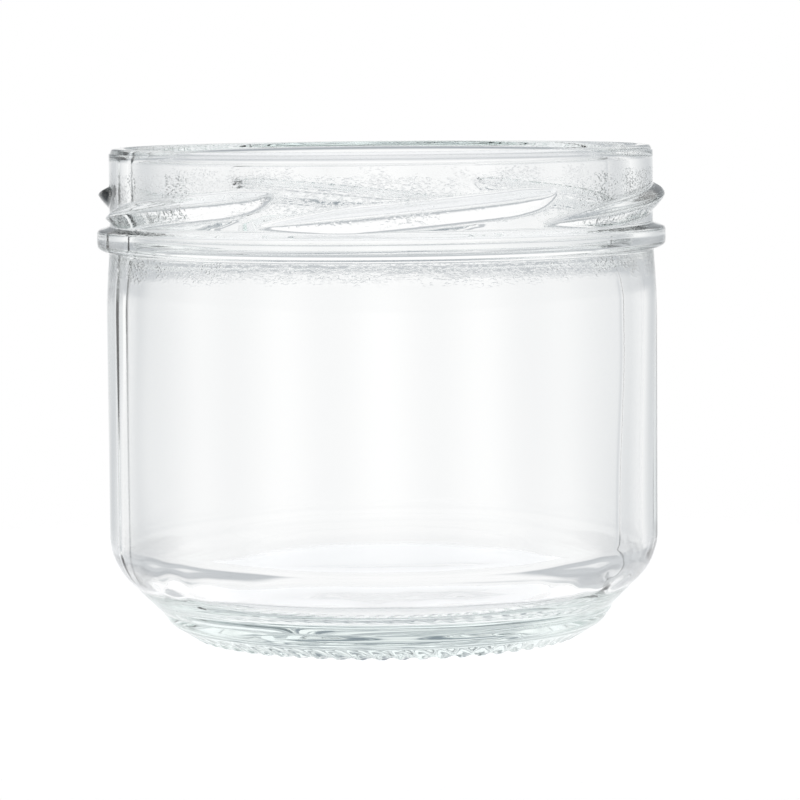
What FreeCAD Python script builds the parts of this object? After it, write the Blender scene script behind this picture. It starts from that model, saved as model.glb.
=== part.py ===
"""A low, wide preserving jar in clear pressed and blown glass, open at the top.

One piece of glass: a plain lip over a six-start lug thread, a transfer bead below
the thread, an almost straight body, a coned heel that the inside follows, and a base
ring with a knurled bearing edge round a pushed-up underside.

The axis of the jar is Z, with the bearing edge at z = 0. Millimetres throughout.
"""
import FreeCAD, Part
import math
import os
import Sketcher
from FreeCAD import Placement, Rotation, Vector

NODE = "glass_jar"

# The driving dimensions. A radius is measured from the axis, a height from the table.
DIMENSIONS = {
    # overall
    "jar_height": 70.0,
    "body_radius": 39.3,
    "wall": 2.3,
    # neck finish
    "neck_radius": 38.75,
    "lip_height": 0.75,
    "lip_inset": 0.2,
    "bore_radius": 35.8,
    "bore_depth": 10.5,
    # transfer bead
    "bead_radius": 40.55,
    "bead_root_top": 58.95,
    "bead_edge_top": 58.4,
    "bead_edge_bottom": 55.75,
    "bead_root_bottom": 55.3,
    # shoulder and heel
    "shoulder_flare": 0.1,
    "shoulder_height": 48.5,
    "heel_corner": 11.1,
    "heel_foot_radius": 32.5,
    "heel_foot_height": 4.25,
    # base ring
    "ring_radius": 32.3,
    "ring_top": 3.9,
    "ring_shoulder_radius": 31.3,
    "ring_shoulder_height": 2.3,
    "bearing_outer": 27.4,
    "bearing_inner": 24.6,
    # pushed-up underside and the floor inside
    "punt_radius": 22.8,
    "punt_rise": 2.4,
    "punt_crown": 12.0,
    "punt_height": 3.9,
    "floor_crown": 14.0,
    "floor_centre": 7.0,
    "floor_edge_radius": 32.5,
    "floor_edge_height": 6.3,
    "inner_heel_corner": 10.0,
}

# Radii that round the corners of the glass.
ROUNDINGS = {
    "lip_outer_round": 0.6,
    "lip_inner_round": 1.2,
    "bead_upper_round": 0.6,
    "bead_lower_round": 0.9,
    "bead_root_round": 0.35,
    "shoulder_round": 60.0,
    "heel_round": 8.0,
    "ring_edge_round": 0.3,
    "ring_round": 2.5,
    "bearing_round": 0.6,
    "punt_round": 1.2,
    "crown_round": 60.0,
    "floor_edge_round": 4.0,
    "inner_heel_round": 6.0,
    "inner_shoulder_round": 25.0,
}

# One lug of the thread: its tip climbs with the lead, and it is steeper above than below.
LUG = {
    "lug_count": 6,
    "lug_lead": 22.8,
    "lug_middle": 60.95,
    "lug_proud": 1.7,
    "lug_upper": 1.55,
    "lug_lower": 1.9,
    "lug_root": 0.6,
}

# Where the lug's cross-sections stand, in degrees round the jar from its front, how large
# each is beside the full one, how far it sinks into the neck and how far it lifts. At both
# ends they shrink and sink until nothing stands proud, so that the lug runs out.
LUG_SECTIONS = [
    # angle, size, sink, lift
    (-36.0, 0.50, 1.10, 0.90),
    (-30.0, 0.80, 0.55, 0.45),
    (-21.0, 1.00, 0.00, 0.05),
    (-4.0, 1.00, 0.00, 0.00),
    (14.0, 1.00, 0.00, 0.00),
    (31.0, 1.00, 0.00, 0.00),
    (36.5, 0.80, 0.40, 0.25),
    (41.0, 0.50, 1.10, 0.45),
]

# The knurl: round-bottomed grooves that lean across the bearing edge and leave bars between.
KNURL = {
    "knurl_count": 60,
    "groove_radius": 0.97,
    "groove_depth": 0.3,
    "groove_length": 6.0,
}
KNURL_LEAN = 25.0  # degrees between a groove and the line out from the axis

FRONT = -90.0  # the sketch plane holds +X, a quarter turn round from the jar's front
GLASS_DENSITY = 2.5  # grams per cubic centimetre

doc = FreeCAD.newDocument("PreservingJar")


def fill_sheet():
    """Write every driving dimension and its name into the spreadsheet."""
    sheet = doc.addObject("Spreadsheet::Sheet", "Dimensions")
    named = {**DIMENSIONS, **ROUNDINGS, **LUG, **KNURL}
    for row, (name, value) in enumerate(named.items(), start=1):
        sheet.set(f"A{row}", name)
        sheet.set(f"B{row}", str(value))
        sheet.setAlias(f"B{row}", name)
    doc.recompute()
    return sheet


sheet = fill_sheet()


def number(text):
    """The value of a formula of named dimensions, such as 'neck_radius + lug_proud * 0.8'."""
    total = 0.0
    for term in text.replace(" - ", " + -1 * ").split(" + "):
        product = 1.0
        for word in term.split(" * "):
            product *= sheet.get(word) if word[0].isalpha() else float(word)
        total += product
    return total


def formula(text):
    """The same formula as an expression that reads the spreadsheet."""
    return " ".join(f"Dimensions.{word}" if word[0].isalpha() else word for word in text.split())


def origin_item(body, role):
    """One of the body's own origin planes or axes."""
    return next(item for item in body.Origin.OriginFeatures if item.Role == role)


def add_sketch(body, name, turn=0.0):
    """A sketch in the plane that holds the axis, turned about it by some degrees."""
    sketch = body.newObject("Sketcher::SketchObject", name)
    sketch.AttachmentSupport = [(origin_item(body, "XZ_Plane"), "")]
    sketch.MapMode = "FlatFace"
    sketch.AttachmentOffset = Placement(Vector(0, 0, 0), Rotation(Vector(0, 1, 0), turn))
    return sketch


def add_measure(sketch, name, text, constraint):
    """Add a constraint that measures something, and give it a name for its formula."""
    sketch.renameConstraint(sketch.addConstraint(constraint), name)
    return name, text


def draw_outline(sketch, corners):
    """A closed outline through corners given as (radius, height, rounding or None).

    Each corner is placed from the axis and the table, and a rounded corner keeps its own
    point, so that every number of the outline is a formula of the sheet.
    """
    points = [Vector(number(radius), number(height), 0) for radius, height, _ in corners]
    count = len(points)
    for index, start in enumerate(points):
        sketch.addGeometry(Part.LineSegment(start, points[(index + 1) % count]), False)
    for index in range(count):
        sketch.addConstraint(Sketcher.Constraint("Coincident", index, 2, (index + 1) % count, 1))
    measures = []
    for index, (radius, height, _) in enumerate(corners):
        across = Sketcher.Constraint("DistanceX", -1, 1, index, 1, number(radius))
        up = Sketcher.Constraint("DistanceY", -1, 1, index, 1, number(height))
        measures.append(add_measure(sketch, f"radius{index}", radius, across))
        measures.append(add_measure(sketch, f"height{index}", height, up))
    for index, (_, _, rounding) in enumerate(corners):
        if rounding is None:
            continue
        sketch.fillet(index, 1, number(rounding), True, True)
        arc = max(place for place, item in enumerate(sketch.Geometry)
                  if isinstance(item, Part.ArcOfCircle))
        bend = Sketcher.Constraint("Radius", arc, number(rounding))
        measures.append(add_measure(sketch, f"rounding{index}", rounding, bend))
    for name, text in measures:
        sketch.setExpression(f"Constraints.{name}", formula(text))


def glass(body):
    """The jar without its thread: the section of the glass, turned once about the axis."""
    section = add_sketch(body, "GlassSection")
    draw_outline(section, [
        # the pushed-up underside and the bearing edge
        ("0", "punt_height", None),
        ("punt_crown", "punt_height", "crown_round"),
        ("punt_radius", "punt_rise", "punt_round"),
        ("bearing_inner", "0", "bearing_round"),
        ("bearing_outer", "0", "bearing_round"),
        # the base ring, which ends in a small step where the mould's bottom plate met its side
        ("ring_shoulder_radius", "ring_shoulder_height", "ring_round"),
        ("ring_radius", "ring_top", "ring_edge_round"),
        ("heel_foot_radius", "heel_foot_height", None),
        # the coned heel, the body and the shoulder
        ("body_radius", "heel_corner", "heel_round"),
        ("body_radius", "shoulder_height", "shoulder_round"),
        ("neck_radius + shoulder_flare", "bead_root_bottom", "bead_root_round"),
        # the transfer bead
        ("bead_radius", "bead_edge_bottom", "bead_lower_round"),
        ("bead_radius", "bead_edge_top", "bead_upper_round"),
        ("neck_radius", "bead_root_top", "bead_root_round"),
        # the neck and the lip, set in a little above the mould's parting line
        ("neck_radius", "jar_height - lip_height", None),
        ("neck_radius - lip_inset", "jar_height - lip_height", None),
        ("neck_radius - lip_inset", "jar_height", "lip_outer_round"),
        # down the inside to the floor
        ("bore_radius", "jar_height", "lip_inner_round"),
        ("bore_radius", "jar_height - bore_depth", "inner_shoulder_round"),
        ("body_radius - wall", "shoulder_height", "inner_shoulder_round"),
        ("body_radius - wall", "inner_heel_corner", "inner_heel_round"),
        ("floor_edge_radius", "floor_edge_height", "floor_edge_round"),
        ("floor_crown", "floor_centre", "crown_round"),
        ("0", "floor_centre", None),
    ])
    form = body.newObject("PartDesign::Revolution", "Glass")
    form.Profile = section
    form.ReferenceAxis = (origin_item(body, "Z_Axis"), [""])
    form.Angle = 360.0
    doc.recompute()
    return form


def lug_section(body, index, angle, size, sink, lift):
    """One cross-section of a lug: a steeper arc above its tip and a flatter one below.

    Two short lines root the arcs in the neck, so that the lug and the neck overlap.
    """
    sketch = add_sketch(body, f"LugSection{index}", turn=FRONT + angle)
    wall = f"neck_radius - {sink}"
    inside = f"{wall} - lug_root * {size}"
    proud = f"{wall} + lug_proud * {size}"
    middle = f"lug_middle + lug_lead * {angle / 360.0:.5f} + {lift}"
    below = f"{middle} - lug_lower * {size}"
    above = f"{middle} + lug_upper * {size}"
    places = [(inside, above), (inside, below), (wall, below), (proud, middle), (wall, above)]
    points = [Vector(number(radius), number(height), 0) for radius, height in places]
    tip = points[3]

    def flank(foot, start, end):
        """The arc from a foot on the neck to the tip, where it runs straight up."""
        out = tip.x - foot.x
        rise = abs(tip.y - foot.y)
        bend = (out * out + rise * rise) / (2.0 * out)
        circle = Part.Circle(tip - Vector(bend, 0, 0), Vector(0, 0, 1), bend)
        slope = math.atan2(rise, bend - out)
        return Part.ArcOfCircle(circle, start * slope, end * slope)

    sketch.addGeometry(Part.LineSegment(points[0], points[1]), False)
    sketch.addGeometry(Part.LineSegment(points[1], points[2]), False)
    sketch.addGeometry(flank(points[2], -1.0, 0.0), False)
    sketch.addGeometry(flank(points[4], 0.0, 1.0), False)
    sketch.addGeometry(Part.LineSegment(points[4], points[0]), False)
    measures = []
    for item, (radius, height) in enumerate(places):
        after = (item + 1) % len(places)
        sketch.addConstraint(Sketcher.Constraint("Coincident", item, 2, after, 1))
        across = Sketcher.Constraint("DistanceX", -1, 1, item, 1, number(radius))
        up = Sketcher.Constraint("DistanceY", -1, 1, item, 1, number(height))
        measures.append(add_measure(sketch, f"radius{item}", radius, across))
        measures.append(add_measure(sketch, f"height{item}", height, up))
    for item in (2, 3):
        level = Sketcher.Constraint("DistanceY", -1, 1, item, 3, number(middle))
        measures.append(add_measure(sketch, f"centre{item}", middle, level))
    for name, text in measures:
        sketch.setExpression(f"Constraints.{name}", formula(text))
    return sketch


def thread(body):
    """Six lugs, each lofted through its cross-sections and repeated round the neck."""
    sections = [lug_section(body, index, *row) for index, row in enumerate(LUG_SECTIONS)]
    doc.recompute()
    lug = body.newObject("PartDesign::AdditiveLoft", "Lug")
    lug.Profile = sections[0]
    lug.Sections = sections[1:]
    lug.Ruled = False
    doc.recompute()
    lugs = body.newObject("PartDesign::PolarPattern", "Thread")
    lugs.Originals = [lug]
    lugs.Axis = (origin_item(body, "Z_Axis"), [""])
    lugs.Angle = 360.0
    lugs.setExpression("Occurrences", formula("lug_count"))
    body.Tip = lugs
    doc.recompute()
    return lugs


def knurl(body):
    """Grooves across the bearing edge, which leave bars for the jar to stand on."""
    step = math.radians(360.0 / number("knurl_count"))
    across = step / 2.0 + math.radians(KNURL_LEAN)
    edge = number("bearing_inner * 0.5 + bearing_outer * 0.5")
    reach = number("groove_length * 0.5")
    sketch = body.newObject("Sketcher::SketchObject", "GrooveSection")
    sketch.AttachmentSupport = [(origin_item(body, "YZ_Plane"), "")]
    sketch.MapMode = "FlatFace"
    sketch.AttachmentOffset = Placement(
        Vector(edge * math.sin(step / 2.0) + reach * math.sin(across), 0,
               edge * math.cos(step / 2.0) + reach * math.cos(across)),
        Rotation(Vector(0, 1, 0), math.degrees(across)))
    radius = number("groove_radius")
    drop = number("groove_radius - groove_depth")
    sketch.addGeometry(Part.Circle(Vector(0, -drop, 0), Vector(0, 0, 1), radius), False)
    sketch.addConstraint(Sketcher.Constraint("PointOnObject", 0, 3, -2))
    measures = [
        add_measure(sketch, "radius", "groove_radius", Sketcher.Constraint("Radius", 0, radius)),
        add_measure(sketch, "drop", "groove_radius - groove_depth",
                    Sketcher.Constraint("DistanceY", 0, 3, -1, 1, drop)),
    ]
    for name, text in measures:
        sketch.setExpression(f"Constraints.{name}", formula(text))
    groove = body.newObject("PartDesign::Pocket", "Groove")
    groove.Profile = sketch
    groove.Type = "Length"
    groove.setExpression("Length", formula("groove_length"))
    doc.recompute()
    grooves = body.newObject("PartDesign::PolarPattern", "Knurl")
    grooves.Originals = [groove]
    grooves.Axis = (origin_item(body, "Z_Axis"), [""])
    grooves.Angle = 360.0
    grooves.setExpression("Occurrences", formula("knurl_count"))
    body.Tip = grooves
    doc.recompute()
    return grooves


jar = doc.addObject("PartDesign::Body", "Jar")
jar.Label = NODE
for make in (glass, thread, knurl):
    made = make(jar)
    print(f"{make.__name__}: {made.Shape.Volume / 1000:.2f} cm3, {len(made.Shape.Solids)} solid")

for item in doc.Objects:
    if "Invalid" in item.State or "Error" in item.State:
        raise RuntimeError(f"{item.Label} failed: {item.State}")
shape = jar.Shape
if shape.isNull() or not shape.isValid() or len(shape.Solids) != 1:
    raise RuntimeError("the jar is not one valid solid")

box = shape.optimalBoundingBox()
print(f"box {box.XLength:.2f} x {box.YLength:.2f} x {box.ZLength:.2f} mm, lowest {box.ZMin:.3f}")
print(f"glass {shape.Volume / 1000:.1f} cm3, {shape.Volume / 1000 * GLASS_DENSITY:.0f} g")

os.makedirs("parts", exist_ok=True)
shape.exportStep(f"parts/{NODE}.step")
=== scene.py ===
# %% [markdown]
# # A preserving jar in clear glass
#
# The real jar is one piece of glass. A gob is pressed and blown in a mould, so the outside
# copies the mould and is crisp, while the inside is free glass that settled as it liked and is
# a little uneven. This lesson keeps that order: an outline of the wall is turned about the axis,
# the mould's features are raised on the outside, and the inside is made uneven last.
#
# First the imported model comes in. It fixes the size, and every piece here is in metres.

# %% Load the frame
import math

import bmesh
import bpy
import numpy as np
from mathutils import Matrix, Vector, noise


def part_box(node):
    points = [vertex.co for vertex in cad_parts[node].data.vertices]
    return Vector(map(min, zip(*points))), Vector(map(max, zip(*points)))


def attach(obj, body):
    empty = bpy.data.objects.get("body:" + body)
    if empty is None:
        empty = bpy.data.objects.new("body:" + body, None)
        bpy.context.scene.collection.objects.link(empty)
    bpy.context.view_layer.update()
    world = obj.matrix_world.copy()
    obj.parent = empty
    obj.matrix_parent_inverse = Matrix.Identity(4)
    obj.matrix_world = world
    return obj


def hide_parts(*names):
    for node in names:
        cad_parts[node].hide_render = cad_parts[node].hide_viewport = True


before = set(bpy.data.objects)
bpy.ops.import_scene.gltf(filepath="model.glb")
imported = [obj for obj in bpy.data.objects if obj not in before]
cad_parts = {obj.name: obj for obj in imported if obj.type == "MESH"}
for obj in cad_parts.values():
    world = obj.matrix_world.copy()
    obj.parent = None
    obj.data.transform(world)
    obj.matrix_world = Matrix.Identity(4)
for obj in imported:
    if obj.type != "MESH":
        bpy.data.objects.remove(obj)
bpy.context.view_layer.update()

MM = 0.001
scene = bpy.context.scene
low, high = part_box("glass_jar")
jar_height = (high.z - low.z) / MM
print(f"jar {2 * high.x / MM:.1f} mm wide over its lugs and {jar_height:.1f} mm tall")


# %% [markdown]
# ## Camera
#
# A long lens from more than half a metre away keeps the sides of the jar nearly parallel. The
# eye is a little above the rim, so the mouth shows as a thin ellipse. A lens could also be
# shifted instead of aimed, but aiming keeps the shift at zero. The camera leans by half a
# degree, because a real stand is seldom quite level.

# %% Camera
EYE = Vector((0.0, -575.0, 81.5)) * MM
AIM = Vector((2.45, 0.0, 33.6)) * MM
LEAN = -0.0086
SENSOR = 36.0
LENS = 181.0

lens = bpy.data.cameras.new("Camera")
lens.sensor_width = SENSOR
lens.lens = LENS
lens.clip_start = 0.01
lens.clip_end = 20.0
camera = bpy.data.objects.new("Camera", lens)
scene.collection.objects.link(camera)
facing = (AIM - EYE).to_track_quat("-Z", "Y").to_matrix().to_4x4()
camera.matrix_world = Matrix.Translation(EYE) @ facing @ Matrix.Rotation(LEAN, 4, "Z")
scene.camera = camera
print(f"camera {EYE.length / MM:.0f} mm away with a {LENS:.0f} mm lens")


# %% [markdown]
# ## Light
#
# Clear glass has almost no colour of its own. What shows is how it bends the light behind it, so
# it is lit as bright field: pale panels all round the horizon with softly greyer gaps between
# them, a white ring above, and a dim ceiling and ground. The walls bend the dim parts into view
# near the outline, which draws the jar's edges. A single lamp would give hard sparkles and no
# edges. The panels are a pattern on the world, eight round, so that the jar looks alike from
# every side.

# %% A helper that adds and joins shader nodes
def add_node(tree, kind, inputs=None, **settings):
    """Add a node, set its fields, and give its inputs values or link them to outputs."""
    node = tree.nodes.new(kind)
    for name, value in settings.items():
        setattr(node, name, value)
    for name, value in (inputs or {}).items():
        if isinstance(value, bpy.types.NodeSocket):
            tree.links.new(value, node.inputs[name])
        else:
            node.inputs[name].default_value = value
    return node


# %% How the light is shown, and how often a ray may bend
BOUNCES = 32
GLOSSY_BOUNCES = 16

scene.view_settings.view_transform = "Standard"
scene.cycles.max_bounces = BOUNCES
scene.cycles.transmission_bounces = BOUNCES
scene.cycles.glossy_bounces = GLOSSY_BOUNCES
print(f"a ray may bend {BOUNCES} times")

# %% The panels round the horizon
PANELS = 8
PANEL_LIGHT = 0.79
PANEL_SWING = 0.22

world = bpy.data.worlds.new("Studio")
world.use_nodes = True
scene.world = world
sky = world.node_tree
sky.nodes.clear()
direction = add_node(sky, "ShaderNodeTexCoord").outputs["Generated"]
parts = add_node(sky, "ShaderNodeSeparateXYZ", {0: direction})
turn = add_node(sky, "ShaderNodeMath", {0: parts.outputs["X"], 1: parts.outputs["Y"]},
                operation="ARCTAN2")
wave = add_node(sky, "ShaderNodeMath", {0: turn.outputs[0], 1: float(PANELS)},
                operation="MULTIPLY")
wave = add_node(sky, "ShaderNodeMath", {0: wave.outputs[0]}, operation="COSINE")
light = add_node(sky, "ShaderNodeMath", {0: wave.outputs[0], 1: PANEL_SWING, 2: PANEL_LIGHT},
                 operation="MULTIPLY_ADD")
print(f"{PANELS} panels round the horizon")

# %% The levels above and below: where each starts and is complete, as a sine, and its light
GAP = (0.05, 0.10, 0.42)
UPPER = (0.24, 0.34, 1.05)
CEILING = (0.66, 0.84, 0.06)
GROUND = (-0.26, -0.46, 0.20)

for start, end, level in (GAP, UPPER, CEILING, GROUND):
    light = add_node(sky, "ShaderNodeMapRange",
                     {"Value": parts.outputs["Z"], "From Min": start, "From Max": end,
                      "To Min": light.outputs[0], "To Max": level},
                     interpolation_type="SMOOTHSTEP")
print("a white ring between the panels and the ceiling")

# %% The world's colour: dim parts are a cool grey, and the backdrop itself is plain white
GREYEST = (0.16, 0.20, 0.24, 1.0)
WHITE = (1.0, 1.0, 1.0, 1.0)

tone = add_node(sky, "ShaderNodeMix", {0: light.outputs[0], 6: GREYEST, 7: WHITE},
                data_type="RGBA", clamp_factor=False)
rays = add_node(sky, "ShaderNodeLightPath")
seen = add_node(sky, "ShaderNodeMix",
                {0: rays.outputs["Is Camera Ray"], 6: tone.outputs[2], 7: WHITE},
                data_type="RGBA")
glow = add_node(sky, "ShaderNodeBackground", {"Color": seen.outputs[2]})
add_node(sky, "ShaderNodeOutputWorld", {"Surface": glow.outputs[0]})
print(f"the world has {len(sky.nodes)} nodes")


# %% [markdown]
# ## Floor
#
# The jar stands on a pale, slightly glossy table top that glows a little, as a table lit from
# below does. A wide plain floor would be simpler, but its far edge would show through the glass,
# so this one is a disc that fades out towards its rim.

# %% The floor's disc
FLOOR_RADIUS = 0.16
FLOOR_SIDES = 96
FLOOR_DROP = 0.02 * MM

mesh = bmesh.new()
bmesh.ops.create_circle(mesh, cap_ends=True, radius=FLOOR_RADIUS, segments=FLOOR_SIDES)
floor_mesh = bpy.data.meshes.new("floor")
mesh.to_mesh(floor_mesh)
mesh.free()
floor = bpy.data.objects.new("floor", floor_mesh)
floor.location.z = low.z - FLOOR_DROP
scene.collection.objects.link(floor)
print(f"floor {2 * FLOOR_RADIUS:.2f} m across")

# %% The floor's paint
FLOOR_SOLID = 0.08
FLOOR_PAINT = (0.30, 0.30, 0.31, 1.0)
FLOOR_ROUGHNESS = 0.30
FLOOR_GLOW = 0.72

paint = bpy.data.materials.new("pale_table")
paint.use_nodes = True
tree = paint.node_tree
tree.nodes.clear()
place = add_node(tree, "ShaderNodeTexCoord").outputs["Object"]
reach = add_node(tree, "ShaderNodeVectorMath", {0: place}, operation="LENGTH")
fade = add_node(tree, "ShaderNodeMapRange",
                {"Value": reach.outputs["Value"], "From Min": FLOOR_SOLID,
                 "From Max": FLOOR_RADIUS, "To Min": 0.0, "To Max": 1.0},
                interpolation_type="SMOOTHSTEP")
top = add_node(tree, "ShaderNodeBsdfPrincipled",
               {"Base Color": FLOOR_PAINT, "Roughness": FLOOR_ROUGHNESS,
                "Emission Color": WHITE, "Emission Strength": FLOOR_GLOW})
clear = add_node(tree, "ShaderNodeBsdfTransparent")
mixed = add_node(tree, "ShaderNodeMixShader",
                 {0: fade.outputs[0], 1: top.outputs[0], 2: clear.outputs[0]})
add_node(tree, "ShaderNodeOutputMaterial", {"Surface": mixed.outputs[0]})
floor_mesh.materials.append(paint)
print(f"the floor fades out past {FLOOR_SOLID:.2f} m")


# %% [markdown]
# ## The outline of the wall
#
# Half of the jar, cut through its axis, is a thin closed band: up the outside from under the
# base, over the lip, and down the inside to the floor. It starts as a chain of corners. Each
# corner is then rounded with a bevel of its own radius, as the mould's corners are, and each
# stretch is divided for what will be raised on it. A drawn curve could do this too, but a chain
# of corners keeps every radius a plain number.

# %% The jar's main sizes, in mm
BODY_RADIUS = 39.3
NECK_RADIUS = 38.75
BORE = 35.8
WALL = 2.3
PLATE_RADIUS, PLATE_HEIGHT = 32.5, 4.25
HEEL_TOP = 11.1
BEAD_RADIUS = 40.55
BEAD_TOP = 58.95
LUG_TOP = 65.4
LIP_BOTTOM = jar_height - 0.75
LIP_RADIUS = NECK_RADIUS - 0.2
print(f"the wall is {WALL} mm thick, and the mouth is {2 * BORE} mm wide")

# %% The corners outside: radius, height, rounding, and the spacing of the points after it
OUTSIDE = [
    (0.0, 3.9, 0.0, 3.0),
    (12.0, 3.9, 60.0, 1.6),
    (22.8, 2.4, 1.2, 0.5),
    (24.4, 0.0, 0.5, 0.35),
    (27.5, 0.0, 0.6, 0.4),
    (31.3, 2.3, 2.5, 0.4),
    (32.3, 3.9, 0.3, 0.2),
    (PLATE_RADIUS, PLATE_HEIGHT, 0.0, 1.0),
    (BODY_RADIUS, HEEL_TOP, 8.0, 3.0),
    (BODY_RADIUS, 48.5, 60.0, 2.2),
    (NECK_RADIUS + 0.1, 55.3, 0.35, 0.35),
    (BEAD_RADIUS, 55.75, 0.9, 0.5),
    (BEAD_RADIUS, 58.4, 0.6, 0.35),
    (NECK_RADIUS, BEAD_TOP, 0.3, 0.25),
    (NECK_RADIUS, LUG_TOP, 0.0, 1.2),
    (NECK_RADIUS, LIP_BOTTOM, 0.0, 0.2),
    (LIP_RADIUS, LIP_BOTTOM, 0.0, 0.4),
]
print(f"{len(OUTSIDE)} corners outside")

# %% The corners over the lip and down the inside
INSIDE = [
    (LIP_RADIUS, jar_height, 0.6, 0.6),
    (BORE, jar_height, 1.2, 0.6),
    (BORE, 59.5, 25.0, 0.6),
    (BODY_RADIUS - WALL, 48.5, 25.0, 2.0),
    (BODY_RADIUS - WALL, 10.0, 6.0, 0.8),
    (32.5, 6.3, 4.0, 1.0),
    (14.0, 7.0, 60.0, 1.6),
    (0.0, 7.0, 0.0, 0.0),
]
print(f"{len(INSIDE)} corners over the lip and inside")

# %% How a corner is rounded: a longer arc takes more steps, a gentle one few
ARC_STEP = 0.4
TURN_STEP = math.radians(5.0)
FEWEST_STEPS, MOST_STEPS = 3, 8


def rounding(before, corner, after, radius):
    """How far along its two edges a corner's rounding reaches, and how many steps draw it."""
    opening = (before.co - corner.co).angle(after.co - corner.co)
    turned = math.pi - opening
    steps = round(min(turned * radius / ARC_STEP, turned / TURN_STEP))
    steps = max(FEWEST_STEPS, min(MOST_STEPS, steps))
    return radius * MM / math.tan(opening / 2), steps


# %% Draw the outline and round its corners
def draw_outline(mesh, corners):
    """A chain of edges through the corners, each corner rounded."""
    points = [mesh.verts.new((radius * MM, 0.0, height * MM)) for radius, height, *_ in corners]
    for pair in zip(points, points[1:]):
        mesh.edges.new(pair)
    roundings = [rounding(points[i - 1], points[i], points[i + 1], corners[i][2])
                 for i in range(1, len(points) - 1)]
    for point, (reach, steps) in zip(points[1:-1], roundings):
        if reach:
            bmesh.ops.bevel(mesh, geom=[point], affect="VERTICES", offset=reach,
                            offset_type="OFFSET", segments=steps, profile=0.5, material=-1)


jar = bmesh.new()
draw_outline(jar, OUTSIDE + INSIDE)
print(f"the rounded outline has {len(jar.edges)} stretches")


# %% Divide the outline
def spacing_at(spot, corners):
    """The spacing of the stretch of the outline that is nearest to a spot."""
    stretches = []
    for (r0, z0, _, spacing), (r1, z1, *_) in zip(corners, corners[1:]):
        start, end = Vector((r0, 0, z0)) * MM, Vector((r1, 0, z1)) * MM
        along = end - start
        share = max(0.0, min(1.0, (spot - start).dot(along) / along.length_squared))
        stretches.append(((start + along * share - spot).length, spacing))
    return min(stretches)[1] * MM


for edge in list(jar.edges):
    middle = (edge.verts[0].co + edge.verts[1].co) / 2
    cuts = round(edge.calc_length() / spacing_at(middle, OUTSIDE + INSIDE)) - 1
    if cuts > 0:
        bmesh.ops.subdivide_edges(jar, edges=[edge], cuts=cuts)
print(f"the divided outline has {len(jar.edges)} stretches")

# %% Turn the outline about the axis
STEPS = 420
SAME_POINT = 1e-6

bmesh.ops.spin(jar, geom=jar.verts[:] + jar.edges[:], cent=(0, 0, 0), axis=(0, 0, 1),
               dvec=(0, 0, 0), angle=math.tau, steps=STEPS, use_merge=True)
bmesh.ops.remove_doubles(jar, verts=jar.verts[:], dist=SAME_POINT)
bmesh.ops.recalc_face_normals(jar, faces=jar.faces[:])
print(f"{len(jar.faces)} faces, closed: {all(edge.is_manifold for edge in jar.edges)}")

# %% The mesh's points as arrays: radius and height in mm, angle in degrees from the front
verts = jar.verts[:]
points = np.array([vert.co[:] for vert in verts]) / MM
x, y, z = points.T
radius = np.hypot(x, y)
angle = np.degrees(np.arctan2(x, -y))
new_radius = radius.copy()
new_height = z.copy()


def ramp(value, start, end):
    """0 before the start, 1 past the end and straight between; the end may be the smaller."""
    return np.clip((value - start) / (end - start), 0.0, 1.0)


print(f"{len(verts)} points to move")


# %% [markdown]
# ## The lugs
#
# Six short lugs climb round the neck, and a twist-off cap's own lugs slide down under them.
# Each is a rounded ridge, with its crest nearer the top. It rises out of the bead at its lower
# left, climbs to the right and ends in a blunt nose. Six swept tubes joined by a boolean would
# leave ragged seams in a mesh this fine, so the neck's own points are pushed out by a height
# that is worked out from the angle and the height on the neck.

# %% The size of a lug: lengths round the neck in degrees, all else in mm
LUGS = 6
LUG_PITCH = 22.2
LUG_MIDDLE = 61.45
LUG_PROUD = 1.7
LUG_UP, LUG_DOWN = 1.3, 2.05
BEND_UP, BEND_DOWN = 1.7, 1.3
CLIMB_ENDS = 30.0
TAIL_START, TAIL_LENGTH, TAIL_BEND = -6.0, 19.0, 1.3
NOSE_START, NOSE_LENGTH = 26.0, 11.5
SLIM = 0.7
THINNEST = 0.03
ROOT_SOFT = 0.14
ROOT_DEEP = -1.0
print(f"{LUGS} lugs, {LUG_PROUD} mm proud, that climb {LUG_PITCH} mm in a turn")


# %% The height of one lug above the neck
def lug_height(local, height):
    """How far each point is pushed out, for its angle from the lug's middle and its height."""
    tail = ramp(local, TAIL_START, TAIL_START - TAIL_LENGTH)
    nose = ramp(local, NOSE_START, NOSE_START + NOSE_LENGTH)
    size = (1.0 - tail ** TAIL_BEND) * np.sqrt(np.clip(1.0 - nose ** 2, 0.0, 1.0))
    width = np.maximum(size, THINNEST)
    middle = LUG_MIDDLE + LUG_PITCH * np.minimum(local, CLIMB_ENDS) / 360.0
    middle = middle + LUG_UP * (1.0 - width) * (local > 0)
    away = height - middle
    reach = np.where(away > 0, LUG_UP, LUG_DOWN) * width
    bend = np.where(away > 0, BEND_UP, BEND_DOWN)
    hump = LUG_PROUD * size ** SLIM * (1.0 - np.abs(away / reach) ** bend)
    soft = (hump + np.sqrt(hump ** 2 + ROOT_SOFT ** 2)) / 2
    return np.where((size > THINNEST) & (hump > ROOT_DEEP), soft, 0.0)


# %% Raise the lugs, and let them run into the top of the bead
LUG_LOWEST = 58.2
LIP_CLEAR = 0.05
OUTSIDE_FROM = 37.4

outer = radius > OUTSIDE_FROM
on_neck = outer & (z > LUG_LOWEST) & (z < LIP_BOTTOM - LIP_CLEAR)
lug = np.zeros_like(z)
for number in range(LUGS):
    local = (angle - number * 360.0 / LUGS + 180.0) % 360.0 - 180.0
    lug = np.maximum(lug, lug_height(local, np.maximum(z, BEAD_TOP)))
lug = lug * (1.0 - ramp(radius, NECK_RADIUS, BEAD_RADIUS))
new_radius = np.where(on_neck, new_radius + lug, new_radius)
print(f"the lugs stand {lug[on_neck].max():.2f} mm proud")


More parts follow.
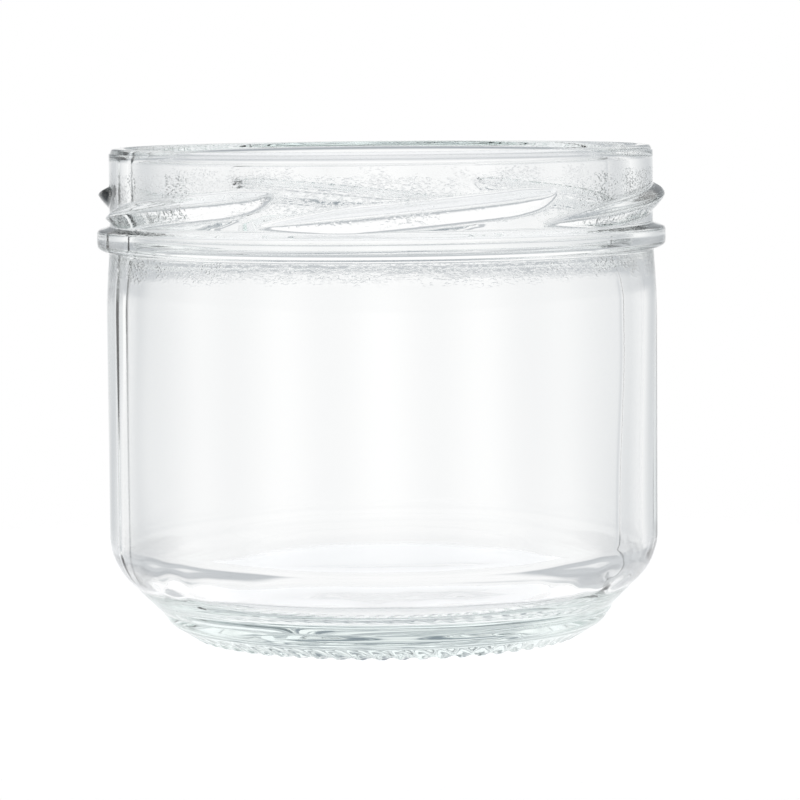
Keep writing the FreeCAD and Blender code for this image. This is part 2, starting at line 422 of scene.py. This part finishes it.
# %% [markdown]
# ## Seams and knurl
#
# The mould is two halves on a bottom plate. Where the halves meet, a hair of glass stands up on
# both sides of the jar. The plate sat a hair sideways, which leaves a step round the base, and
# its knurl leaves leaning bars on the bearing edge, so that the hot jar touches the belt at few
# points. All of these are shallow, so the same points are moved again: cutting sixty grooves
# out of a closed shell would only make the mesh worse.

# %% The seams of the mould's two halves
SEAMS = (-71.0, 109.0)
SEAM_PROUD = 0.14
SEAM_HALF = 0.35
SEAM_BOTTOM = 5.0
SEAM_TOP = jar_height - 0.8

on_seam = outer & (z > SEAM_BOTTOM) & (z < SEAM_TOP)
for seam in SEAMS:
    away = np.radians((angle - seam + 180.0) % 360.0 - 180.0) * radius
    ridge = SEAM_PROUD * np.exp(-(away / SEAM_HALF) ** 2)
    new_radius = np.where(on_seam, new_radius + ridge, new_radius)
print(f"seams at {SEAMS[0]:.0f} and {SEAMS[1]:.0f} degrees")

# %% The knurl on the bearing edge
KNURLS = 60
KNURL_DEEP = 0.28
KNURL_MIDDLE = 26.0
KNURL_LEAN = 1.1
GROOVE_SHARE, GROOVE_SLOPE = 0.45, 1.1
KNURL_INNER = (24.2, 24.7)
KNURL_OUTER = (30.6, 28.0)
KNURL_TOP = 2.4

bar = np.cos(np.radians(angle * KNURLS) + (radius - KNURL_MIDDLE) * KNURL_LEAN)
groove = KNURL_DEEP * np.clip(GROOVE_SHARE - GROOVE_SLOPE * bar, 0.0, 1.0)
groove = groove * ramp(radius, *KNURL_INNER) * ramp(radius, *KNURL_OUTER)
new_height = np.where(z < KNURL_TOP, new_height + groove, new_height)
print(f"{KNURLS} bars, {KNURL_DEEP} mm high")


# %% [markdown]
# ## The uneven inside
#
# Inside, the glass touched only air. Its thickness swells and shrinks slowly round the wall, it
# settled in a small wave just below the bead, and it gathered in thick folds at the heel on two
# sides. Smooth seeded noise gives each of these at its own scale. A displace modifier could do
# the same, but it would also move the crisp outside.

# %% A helper for smooth noise
def field(spots, scale, seed, squeeze=(1.0, 1.0, 1.0)):
    """Smooth seeded noise from -1 to 1 at every spot, with bumps about scale mm across."""
    offset = Vector((seed * 17.3, seed * 5.1, seed * 9.7))
    stretch = Vector(squeeze) / scale
    return np.array([noise.noise(Vector(spot) * stretch + offset) for spot in spots])


# %% The points of the inside: clear of the neck, of the heel's outside and of the floor
INSIDE_TO = 37.3
HEEL_CLEAR = 0.7
FLOOR_TOP = 7.0

heel_outside = (PLATE_RADIUS + (z - PLATE_HEIGHT) * (BODY_RADIUS - PLATE_RADIUS)
                / (HEEL_TOP - PLATE_HEIGHT))
inside = (radius < INSIDE_TO) & (radius < heel_outside - HEEL_CLEAR) & (z > FLOOR_TOP)
ring = points[inside]
level = ring * (1, 1, 0)
print(f"{inside.sum()} points inside")

# %% The wall's slow swell, and the wave where the glass settled below the bead
SWELL = 0.22
SETTLE = 52.7
SETTLE_BROAD, SETTLE_FINE = 0.5, 0.25
SETTLE_STEP = 0.05
SETTLE_HALF = 0.3
STEP_TOP = 58.0
RIPPLE = 0.06
RIPPLE_RISE = 0.8
RIPPLE_FADE = (56.0, 54.5)
PATCH_CRISP, PATCH_SHARE = 1.6, 0.55
FLATTER = (1.0, 1.0, 1.6)

ring_z = z[inside]
swell = SWELL * field(ring, 24.0, 1, (1, 1, 0.8))
settle = SETTLE + SETTLE_BROAD * field(level, 22.0, 5) + SETTLE_FINE * field(level, 5.0, 11)
step = SETTLE_STEP * ramp(ring_z, settle - SETTLE_HALF, settle + SETTLE_HALF)
patch = np.clip(field(ring, 14.0, 4) * PATCH_CRISP + PATCH_SHARE, 0.0, 1.0)
ripple = RIPPLE * patch * field(ring, 1.7, 6, FLATTER)
ripple = ripple * ramp(ring_z, settle, settle + RIPPLE_RISE) * ramp(ring_z, *RIPPLE_FADE)
wall_move = swell - step * (ring_z < STEP_TOP) + ripple
print(f"the wall moves by up to {np.abs(wall_move).max():.2f} mm")

# %% The folds at the heel
FOLDS = (-54.0, 52.0)
FOLD_WIDE = 13.0
HEEL_MOVE = 0.5
EVERYWHERE = 0.3
LUMP_BROAD, LUMP_FINE = 0.6, 0.25
FOLD_BROAD, FOLD_FINE = 0.5, 0.9
HEEL_FADE = (13.0, 9.0)
HEEL_FROM = (18.0, 26.0)

fold = sum(np.exp(-((angle[inside] - middle) / FOLD_WIDE) ** 2) for middle in FOLDS)
broad = field(ring, 12.0, 7)
lumps = EVERYWHERE * (broad * LUMP_BROAD + field(ring, 4.0, 8) * LUMP_FINE)
lumps = lumps + fold * (broad * FOLD_BROAD + field(ring, 5.0, 12, FLATTER) * FOLD_FINE)
heel_move = HEEL_MOVE * lumps * ramp(ring_z, *HEEL_FADE) * ramp(radius[inside], *HEEL_FROM)
print(f"the heel moves by up to {np.abs(heel_move).max():.2f} mm")

# %% Move the inside: the wall in and out, the floor up and down, and both at the heel
FLOOR_MOVE = 0.15
WALL_FROM = (7.2, 10.2)

upright = ramp(ring_z, *WALL_FROM)
floor_move = FLOOR_MOVE * field(ring, 12.0, 9)
new_radius[inside] += wall_move * upright + heel_move
new_height[inside] += (1 - upright) * (heel_move + floor_move)
print("the inside is uneven")

# %% Put the points back, with the base a hair sideways, as the bottom plate was
PLATE_SHIFT = 0.3
PLATE_TOP = 4.1
PLATE_EDGE = 32.9
PLATE_FROM = (24.0, 28.0)
AT_AXIS = 1e-9

scale = new_radius / np.maximum(radius, AT_AXIS)
new_x, new_y = x * scale, y * scale
on_plate = (z < PLATE_TOP) & (radius < PLATE_EDGE)
shift = PLATE_SHIFT * ramp(radius, *PLATE_FROM) * on_plate
new_x = new_x + shift
for vert, spot in zip(verts, np.stack([new_x, new_y, new_height], axis=1)):
    vert.co = Vector(spot) * MM
print(f"{(shift > 0).sum()} points of the base moved sideways, by up to {PLATE_SHIFT} mm")

# %% Make the mesh a piece
for face in jar.faces:
    face.smooth = True
jar_mesh = bpy.data.meshes.new("jar_glass")
jar.to_mesh(jar_mesh)
triangles = sum(len(face.verts) - 2 for face in jar.faces)
jar.free()
jar_piece = bpy.data.objects.new("jar_glass", jar_mesh)
scene.collection.objects.link(jar_piece)
print(f"jar_glass has {triangles} triangles")


# %% [markdown]
# ## The grain of the neck's inside
#
# The inside of the neck has a fine grain in ragged patches, and so has a band just under the
# bead. It may come from where the hot glass touched the cold plunger of the press. The specks
# are about half a millimetre, too fine for the mesh, so they are a bump in the material. The
# pattern lies in the object's own coordinates, so it stays on the glass from every side. Its
# limits are ragged, because noise is added to the height before it is compared with them.

# %% Where the grain is
GRAIN_TOP = 68.0 * MM
GRAIN_BOTTOM = 53.4 * MM
GRAIN_RAGGED = 2.6 * MM
RAGGED_SCALE = 260.0
TOP_SOFT, BOTTOM_SOFT = 0.2 * MM, 0.8 * MM
NECK_INSIDE = (37.6 * MM, 37.4 * MM)

clear_glass = bpy.data.materials.new("clear_glass")
clear_glass.use_nodes = True
tree = clear_glass.node_tree
tree.nodes.clear()
place = add_node(tree, "ShaderNodeTexCoord").outputs["Object"]
spot = add_node(tree, "ShaderNodeSeparateXYZ", {0: place})
ragged = add_node(tree, "ShaderNodeTexNoise",
                  {"Vector": place, "Scale": RAGGED_SCALE, "Detail": 3.0})
edge = add_node(tree, "ShaderNodeMath",
                {0: ragged.outputs[0], 1: GRAIN_RAGGED, 2: spot.outputs["Z"]},
                operation="MULTIPLY_ADD")


def fade_grain(value, start, end, so_far=1.0):
    """The grain's strength so far, fading in from 0 as a value goes from start to end."""
    node = add_node(tree, "ShaderNodeMapRange",
                    {"Value": value, "From Min": start, "From Max": end,
                     "To Min": 0.0, "To Max": so_far})
    return node.outputs[0]


grainy = fade_grain(edge.outputs[0], GRAIN_TOP + TOP_SOFT, GRAIN_TOP - TOP_SOFT)
grainy = fade_grain(edge.outputs[0], GRAIN_BOTTOM - BOTTOM_SOFT, GRAIN_BOTTOM + BOTTOM_SOFT,
                    grainy)
print("grain from the lip to just under the bead")

# %% No grain on the outside, nor in a gap round the top of the bead
GAP_MIDDLE = 59.6 * MM
GAP_HALF = 2.6 * MM
GAP_SOFT = 0.6 * MM

reach = add_node(tree, "ShaderNodeVectorMath", {0: place, 1: (1.0, 1.0, 0.0)},
                 operation="MULTIPLY")
reach = add_node(tree, "ShaderNodeVectorMath", {0: reach.outputs[0]}, operation="LENGTH")
grainy = fade_grain(reach.outputs["Value"], *NECK_INSIDE, grainy)
beside = add_node(tree, "ShaderNodeMath", {0: edge.outputs[0], 1: GAP_MIDDLE},
                  operation="SUBTRACT")
beside = add_node(tree, "ShaderNodeMath", {0: beside.outputs[0]}, operation="ABSOLUTE")
grainy = fade_grain(beside.outputs[0], GAP_HALF - GAP_SOFT, GAP_HALF + GAP_SOFT, grainy)
print(f"a gap of {2 * GAP_HALF / MM:.1f} mm without grain")

# %% Patches of specks
PATCH_SCALE = 150.0
PATCH_FROM = (0.48, 0.66)
PATCH_FAINT = 0.10
SPECK_SCALE = 1600.0
SPECK_FROM = (0.50, 0.70)
SPECK_FLAT = 2.2
SPECK_PROUD = 0.6
GRAIN_DEEP = 0.10 * MM

patches = add_node(tree, "ShaderNodeTexNoise",
                   {"Vector": place, "Scale": PATCH_SCALE, "Detail": 3.0})
patches = add_node(tree, "ShaderNodeMapRange",
                   {"Value": patches.outputs[0], "From Min": PATCH_FROM[0],
                    "From Max": PATCH_FROM[1], "To Min": PATCH_FAINT, "To Max": 1.0})
strength = add_node(tree, "ShaderNodeMath", {0: grainy, 1: patches.outputs[0]},
                    operation="MULTIPLY")
flat = add_node(tree, "ShaderNodeVectorMath", {0: place, 1: (1.0, 1.0, SPECK_FLAT)},
                operation="MULTIPLY")
grain = add_node(tree, "ShaderNodeTexNoise",
                 {"Vector": flat.outputs[0], "Scale": SPECK_SCALE, "Detail": 2.0,
                  "Roughness": 0.5})
grain = add_node(tree, "ShaderNodeMapRange",
                 {"Value": grain.outputs[0], "From Min": SPECK_FROM[0],
                  "From Max": SPECK_FROM[1], "To Min": 0.0, "To Max": SPECK_PROUD},
                 interpolation_type="SMOOTHSTEP")
specks = add_node(tree, "ShaderNodeMath", {0: grain.outputs[0], 1: strength.outputs[0]},
                  operation="MULTIPLY")
bump = add_node(tree, "ShaderNodeBump",
                {"Height": specks.outputs[0], "Strength": 1.0, "Distance": GRAIN_DEEP})
print(f"specks up to {SPECK_PROUD * GRAIN_DEEP / MM:.2f} mm high")


# %% [markdown]
# ## Clear glass
#
# Clear jar glass is smooth, bends light by 1.52 and holds a trace of iron, so only thick places
# look green. The trace is a volume that absorbs a little red: painting the surface green would
# tint thin places as well. Light rays to the table pass straight through, because a jar throws
# almost no shadow under wide soft light.

# %% Glass
GLASS_IOR = 1.52
IRON_TINT = (0.30, 0.78, 0.66, 1.0)
IRON_DENSITY = 2.5

body = add_node(tree, "ShaderNodeBsdfPrincipled",
                {"Base Color": WHITE, "Roughness": 0.0, "IOR": GLASS_IOR,
                 "Transmission Weight": 1.0, "Normal": bump.outputs[0]})
rays = add_node(tree, "ShaderNodeLightPath")
passing = add_node(tree, "ShaderNodeBsdfTransparent")
surface = add_node(tree, "ShaderNodeMixShader",
                   {0: rays.outputs["Is Shadow Ray"], 1: body.outputs[0],
                    2: passing.outputs[0]})
iron = add_node(tree, "ShaderNodeVolumeAbsorption",
                {"Color": IRON_TINT, "Density": IRON_DENSITY})
add_node(tree, "ShaderNodeOutputMaterial",
         {"Surface": surface.outputs[0], "Volume": iron.outputs[0]})
jar_mesh.materials.append(clear_glass)
print(f"clear glass of index {GLASS_IOR} with a trace of iron")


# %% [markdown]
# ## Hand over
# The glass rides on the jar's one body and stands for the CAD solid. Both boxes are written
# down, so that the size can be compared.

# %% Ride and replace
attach(jar_piece, "root")
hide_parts("glass_jar")
